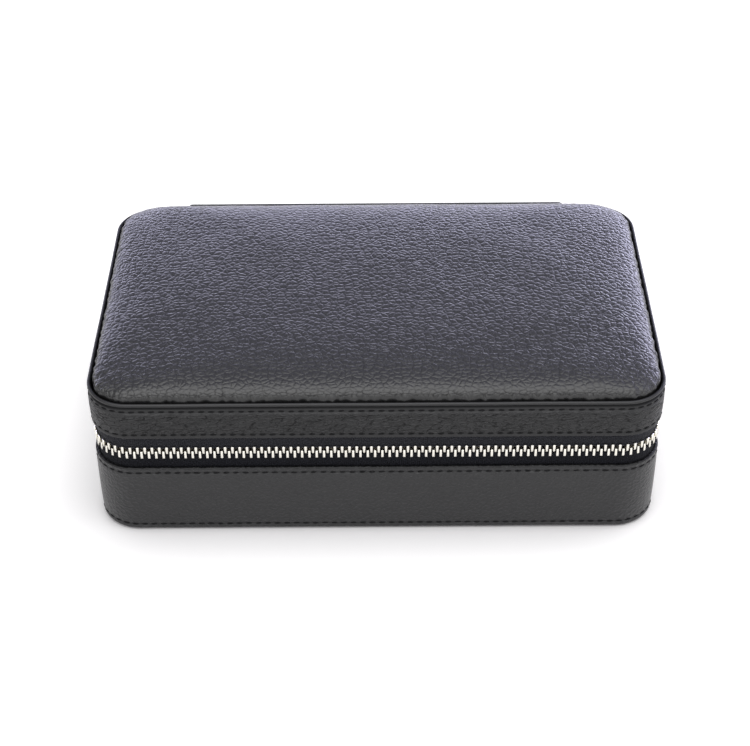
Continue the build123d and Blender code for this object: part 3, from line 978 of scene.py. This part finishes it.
def tooth_unit():
    """One tooth, with X towards the other row, Y outward and Z along the chain: a fork with a narrow head."""
    foot, fork_end, head_start, head_end = -2.2, -1.1, -0.7, 0.45
    half_thickness, half_slot = 1.1, 0.27
    wide, narrow = 0.41, 0.37
    section = [
        (foot, half_slot), (fork_end, half_slot), (fork_end, -half_slot), (foot, -half_slot),
        (foot, -half_thickness), (fork_end, -half_thickness), (head_start, -half_thickness),
        (head_end, -half_thickness * 0.9), (head_end, half_thickness * 0.9), (head_start, half_thickness),
        (fork_end, half_thickness), (foot, half_thickness),
    ]
    width_at = {foot: wide, fork_end: wide * 0.96, head_start: narrow, head_end: narrow * 0.92}
    shape = bmesh.new()
    near = [shape.verts.new((x, y, -width_at[x])) for x, y in section]
    far = [shape.verts.new((x, y, width_at[x])) for x, y in section]
    shape.faces.new(near[::-1])
    shape.faces.new(far)
    for number in range(len(section)):
        after = (number + 1) % len(section)
        shape.faces.new((near[number], near[after], far[after], far[number]))
    bmesh.ops.recalc_face_normals(shape, faces=shape.faces)
    outer = [e for e in shape.edges if all(abs(v.co.y) > half_slot + 0.1 for v in e.verts)]
    bmesh.ops.bevel(shape, geom=outer, offset=0.09, segments=2, affect="EDGES", profile=0.5)
    bmesh.ops.triangulate(shape, faces=[f for f in shape.faces if len(f.verts) > 4])
    shape.verts.index_update()
    points = np.array([tuple(v.co) for v in shape.verts])
    faces = [[v.index for v in face.verts] for face in shape.faces]
    shape.free()
    return points, faces


def make_teeth():
    """Both rows of teeth. Those of the right side, where the slider runs, are pieces of their own."""
    unit = tooth_unit()
    half_x, half_y, radius = outline(chain_inset)
    side_start = way_round(chain_inset) - (half_x - radius) - radius * math.pi / 2 - 2 * (half_y - radius)
    for row, body, up, shift in (("lower", "base", 1, 0), ("upper", "lid", -1, tooth_pitch / 2)):
        front, side = [], []
        for number in range(tooth_count):
            distance = tape_end + first_tooth + shift + number * tooth_pitch
            (x, y), (out_x, out_y) = on_outline(distance, chain_inset)
            out = (out_x, out_y, 0)
            group = front if distance < side_start else side
            group.append(((x, y, hinge_height), ((0, 0, up), out, np.cross((0, 0, up), out))))
        for part, places in (("zip", front), ("side", side)):
            node = f"{row}_{part}_teeth"
            finish_piece(repeat(f"{node}_metal", unit, places), body, zip_metal, "zip_metal", node)


def keep_nodes():
    """Keeps nodes of the frame, with their edges broken by a width, and gives them their materials."""
    for material, width, *nodes in (
        (zip_metal, 0.15, "zip_bottom_stop", "lower_top_stop", "upper_top_stop"),
        (slider_metal, 0.18, "slider_body"),
        (slider_metal, 0, "slider_bail"),
        (slider_metal, 0.15, "puller_link"),
        (slider_metal, 0.1, "puller_rivet"),
        (small_leather, 0.22, "puller_tab"),
        (small_leather, 0, "base_bottom_leather"),
        (board, 0, "base_floor_board", "base_wall_board", "lid_wall_board", "lid_top_board"),
        (plastic, 0.3, "mirror_frame"),
        (glass, 0, "mirror"),
    ):
        for node in nodes:
            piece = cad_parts[node]
            if width:
                bevel = piece.modifiers.new("broken_edges", "BEVEL")
                bevel.width, bevel.segments, bevel.limit_method = width * MM, 2, "ANGLE"
            piece.data.materials.clear()
            piece.data.materials.append(material)


# Lining

def lining_section(outer, inner, low, high, round_low, round_high):
    """An upright lining's section, with its top and bottom edges turned over softly."""
    def turned_over(face, way, end, down, radius, angles):
        shares = [(1 - math.cos(turn), 1 - math.sin(turn)) for turn in map(math.radians, angles)]
        return [(face + way * radius * inset, end - down * radius * drop) for inset, drop in shares]

    heights = np.linspace(low + round_low, high - round_high, 6)
    section = [(outer, height) for height in heights]
    section += turned_over(outer, 1, high, 1, round_high, (30, 60, 90))
    section += turned_over(inner, -1, high, 1, round_high, (90, 60, 30))
    section += [(inner, height) for height in heights[::-1]]
    section += turned_over(inner, -1, low, -1, round_low, (30, 60, 90))
    return section + turned_over(outer, 1, low, -1, round_low, (60, 30))


def line_wall(node, name, body, thickness, round_low, round_high):
    """A suede lining that runs round the inside of the case."""
    low, high = room_of(node)
    outer = half_width - high.x
    section = lining_section(outer, outer + thickness, low.z, high.z, round_low, round_high)
    wall = wrapped_band(name, section, 1.6, sway=0.03)
    finish_piece(wall, body, lining_suede, "suede", node)


def line_flat(node, body, faces_up):
    """A suede lining on the floor or under the lid, a little uneven."""
    low, high = room_of(node)
    half_x, half_y, radius = outline(half_width - high.x)
    place, _ = onion(half_x, half_y, radius, (0, 0.2, 0.5, 1, 2, 4, 7), 3.0)
    depth = inward(place, half_x, half_y, radius)
    swell = np.array([noise.noise(Vector((x / 14, y / 14, 1.0))) for x, y in place.reshape(-1, 2)])
    swell = 0.12 * swell.reshape(depth.shape) * np.clip(depth / 6, 0, 1)
    if faces_up:
        outer_face, inner_face = high.z - 0.1 + swell, np.full(depth.shape, low.z)
    else:
        outer_face, inner_face = np.full(depth.shape, high.z), low.z + 0.02 - 0.5 * np.abs(swell)
    sheet = shell(f"{node}_suede", place, outer_face, inner_face)
    finish_piece(sheet, body, lining_suede, "suede", node)


def line_hinge():
    """The suede strip inside the hinge, between base and lid."""
    low, high = room_of("hinge_lining")
    half_x, half_z, middle = high.x, (high.z - low.z) / 2, (high.z + low.z) / 2
    place, _ = onion(half_x, half_z, 0.8, (0, 0.15, 0.4, 0.9), 1.0)
    inner = np.zeros(place.shape[:2])

    def against_the_tape(x, y, height):
        return x, high.y - height, middle + y

    strip = shell("hinge_lining_suede", place, inner + high.y - low.y, inner, against_the_tape)
    finish_piece(strip, None, lining_suede, "suede", "hinge_lining")
    bend_at_hinge(strip)


def make_linings():
    """Every suede lining but the dividers and the ring rolls."""
    collar_thickness = room_of("inner_collar")[1].x - room_of("floor_lining")[1].x
    line_wall("inner_collar", "suede_collar", "base", collar_thickness, 0.2, 0.7)
    line_wall("lid_wall_lining", "suede_lid_wall", "lid", 1.0, 0.45, 0.1)
    line_flat("floor_lining", "base", True)
    line_flat("lid_top_lining", "lid", False)
    line_hinge()


def make_divider(node):
    """A board wrapped in suede, with a soft top edge."""
    low, high = room_of(node)
    along_y = high.y - low.y > high.x - low.x
    start, end = (low.y, high.y) if along_y else (low.x, high.x)
    side, other_side = (low.x, high.x) if along_y else (low.y, high.y)
    half, middle = (other_side - side) / 2, (other_side + side) / 2
    section = lining_section(0, 2 * half, low.z, high.z, 0.1, 0.9)
    rings = []
    for station in np.linspace(start, end, max(2, int((end - start) / 2)) + 1):
        wander = 0.07 * noise.noise(Vector((station / 9, middle, 0)))
        ring = [(middle - half + x, z + wander * (z - low.z) / (high.z - low.z)) for x, z in section]
        rings.append([(x, station, z) if along_y else (station, x, z) for x, z in ring])
    finish_piece(loft(f"{node}_suede", rings), "base", lining_suede, "suede", node)


def make_ring_roll(number):
    """A stuffed suede roll that holds rings between itself and the next one, drawn in at its ends."""
    node = f"ring_roll_{number}"
    low, high = room_of(node)
    spare, end_gap, narrowest = 0.3, 0.5, 0.7
    radius, middle = (high.x - low.x) / 2 - spare, (high.x + low.x) / 2
    half_x, half_y, bend = outline(half_width - room_of("floor_lining")[1].x)
    shoulder = high.z - spare - radius
    section = []
    for angle in np.linspace(-90, 90, 13):
        turned = math.radians(angle)
        section.append((radius * math.sin(turned), shoulder + radius * math.cos(turned)))
    sides = np.linspace(shoulder, low.z, 6)[1:]
    section += [(radius, z) for z in sides] + [(x, low.z) for x in np.linspace(radius, -radius, 6)[1:-1]]
    section += [(-radius, z) for z in sides[::-1]]
    last_angle = math.pi / 2 * 0.96
    rings = []
    for share in np.sin(np.linspace(-1, 1, 41) * last_angle) / math.sin(last_angle):
        shrink = (1 - abs(share) ** 24) ** 0.5 * (1 - narrowest) + narrowest
        ring = []
        for x, z in section:
            place_x = middle + x * shrink
            over = max(abs(place_x) - (half_x - bend), 0)
            reach = half_y - bend + math.sqrt(max(bend**2 - over**2, 0)) - end_gap
            ring.append((place_x, share * reach, low.z + (z - low.z) * (0.2 + 0.8 * shrink)))
        rings.append(ring)
    roll = loft(f"{node}_suede", rings)
    glued = [v.index for v in roll.data.vertices if v.co.z / MM < low.z + 0.8]
    stuff(roll, glued, roll_cap)
    subdivide(roll, 1)
    finish_piece(roll, "base", lining_suede, "suede", node)


# Studio

def make_floor():
    """A plain pale floor. Cameras and gloss see it white where it isn't shaded, and it keeps the shadow."""
    half = 2500
    corners = [(-half, -half, 0), (half, -half, 0), (half, half, 0), (-half, half, 0)]
    floor = new_piece("studio_floor", corners, [(0, 1, 2, 3)])
    recipe = new_recipe("white_sweep")
    camera, shiny = ray_kind(recipe)

    def open_sky(reach):
        return recipe.node("ShaderNodeAmbientOcclusion", {"samples": 8}, {"Distance": reach}, "AO")

    plain = recipe.node("ShaderNodeBsdfDiffuse", {}, {"Color": (0.8, 0.8, 0.8, 1)})
    lit = recipe.node("ShaderNodeBsdfDiffuse", {}, {"Color": (1.0, 0.985, 1.0, 1)})
    glow = recipe.node("ShaderNodeEmission", {}, {"Color": (1, 1, 1, 1), "Strength": 0.36})
    bright = recipe.node("ShaderNodeAddShader", {}, {0: lit, 1: glow})
    white = recipe.blended(open_sky(0.02) * open_sky(0.003), lit, bright)
    mirrored = recipe.blended(shiny * 0.85, plain, bright)
    floor.data.materials.append(recipe.show(recipe.blended(camera, mirrored, white)))


def ray_kind(recipe):
    """1 for a camera ray, and 1 for a ray off a gloss or through a glass."""
    camera = recipe.node("ShaderNodeLightPath", output="Is Camera Ray")
    return camera, camera.beside("Is Glossy Ray") + camera.beside("Is Transmission Ray")


def make_world():
    """A white room with a cool window side at the back and right. The camera itself sees plain white."""
    recipe = Recipe(bpy.data.worlds.new("studio_room"))
    direction = recipe.node("ShaderNodeTexCoord", output="Generated")

    def towards(vector):
        settings = {"operation": "DOT_PRODUCT"}
        return recipe.node("ShaderNodeVectorMath", settings, {0: direction, 1: vector}, "Value")

    front = recipe.ramp(towards((0, -0.5, 0.87)), 0.5, 0.95)
    back = recipe.ramp(towards((0, 1, 0)), 0.3, 0.9)
    fore = recipe.ramp(towards((0, -1, 0)), 0.3, 0.9)
    horizon = (1 - recipe.ramp(towards((0, 0, 1)), 0.0, 0.34)) * (0.8 + back * 3.7 + fore * 1.2)
    right = recipe.ramp(towards((0.95, 0.3, 0)), 0.25, 0.95)
    shown_level = (0.46 + horizon + front * 2.8) * (1 + right * 1.3)
    plain_level = (0.9 + right * 0.9) * 0.62
    cool = recipe.ramp(towards((0.2, 0.98, 0)), 0.0, 0.75) + right * 0.4
    tint = recipe.mixed(cool, (1, 1, 1), (0.98, 0.97, 1.3))
    camera, shiny = ray_kind(recipe)
    shown = recipe.node("ShaderNodeBackground", {}, {"Color": tint, "Strength": shown_level})
    plain = recipe.node("ShaderNodeBackground", {}, {"Color": (1, 1, 1, 1), "Strength": plain_level})
    white = recipe.node("ShaderNodeBackground", {}, {"Color": (1, 1, 1, 1), "Strength": 1.0})
    room = recipe.blended(shiny, plain, shown)
    bpy.context.scene.world = recipe.show(recipe.blended(camera, room, white), "ShaderNodeOutputWorld")


def make_softbox():
    """A wide, weak lamp overhead, shining straight down."""
    lamp = bpy.data.lights.new("overhead_softbox", "AREA")
    lamp.shape, lamp.size, lamp.size_y = "RECTANGLE", 1.0, 0.75
    lamp.energy = 3.5
    softbox = put_in_scene("overhead_softbox", lamp)
    softbox.location = (0.15, 0.1, 0.75)
    softbox.visible_glossy = False


def make_camera():
    """The photograph's camera."""
    lens = bpy.data.cameras.new("photo_camera")
    lens.sensor_width = sensor_width
    lens.lens = focal_length_pixels * sensor_width / photo_width
    lens.clip_start, lens.clip_end = 0.05, 20
    camera = put_in_scene("photo_camera", lens)
    camera.matrix_world = (
        Matrix.Rotation(camera_turn, 4, "Z") @ Matrix.Translation(camera_target * MM)
        @ Matrix.Rotation(math.pi / 2 - look_down, 4, "X") @ Matrix.Rotation(camera_roll, 4, "Z")
        @ Matrix.Translation((0, 0, camera_distance * MM))
    )
    bpy.context.scene.camera = camera


make_bands()
make_lid_pad()
make_spine()
make_tapes()
make_teeth()
keep_nodes()
stitch_puller()
make_linings()
for divider in ("long_divider", "cross_divider", "short_divider"):
    make_divider(divider)
for roll_number in range(1, 6):
    make_ring_roll(roll_number)
make_floor()
make_world()
make_softbox()
make_camera()
bpy.context.scene.view_settings.view_transform = "Standard"
